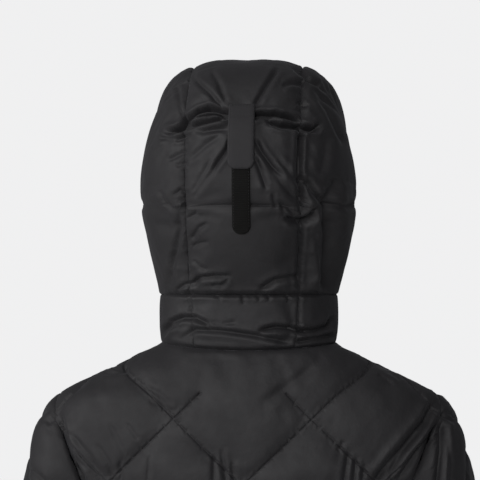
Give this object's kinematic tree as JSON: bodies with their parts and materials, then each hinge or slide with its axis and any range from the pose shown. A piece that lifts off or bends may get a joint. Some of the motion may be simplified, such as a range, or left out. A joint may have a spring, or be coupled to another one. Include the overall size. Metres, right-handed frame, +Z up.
{
  "type": "parka",
  "caption": "Quilted hooded winter parka in the shape it has when worn, with stand collar, front zip, set-in sleeves and a fastening tab at the back of the panelled hood.",
  "frame": {"origin": "the middle of the neck ring, level with the collar's lower edge", "axes": "+Z up as worn, -Y out of the front (the zip side), +X towards the garment's left sleeve"},
  "size_m": [0.7358, 0.2983, 1.1949],
  "materials": {
    "shell_fabric": "smooth matte nylon with a faint sheen",
    "tab_fabric": "matte woven",
    "hook_and_loop": "matte ribbed",
    "zip_tape": "matte woven tape with moulded teeth",
    "zip_metal": "dark satin"
  },
  "bodies": {
    "garment": {"back": "shell_fabric", "front_left": "shell_fabric", "front_right": "shell_fabric", "sleeve_left": "shell_fabric", "sleeve_right": "shell_fabric", "collar_back": "shell_fabric", "collar_left": "shell_fabric", "collar_right": "shell_fabric", "hood_center": "shell_fabric", "hood_left": "shell_fabric", "hood_right": "shell_fabric", "hood_tab": "tab_fabric", "hood_tab_strip": "hook_and_loop", "zip_tape_left": "zip_tape", "zip_tape_right": "zip_tape", "zip_slider": "zip_metal"},
    "pull_tab": {"zip_pull": "zip_metal"}
  },
  "joints": [
    {"name": "pull_tab_swing", "type": "hinge", "parent": "garment", "child": "pull_tab", "pos_m": [0, -0.09172, -0.00057], "axis": [-1, 0, 0], "range_deg": [0, 150]}
  ]
}
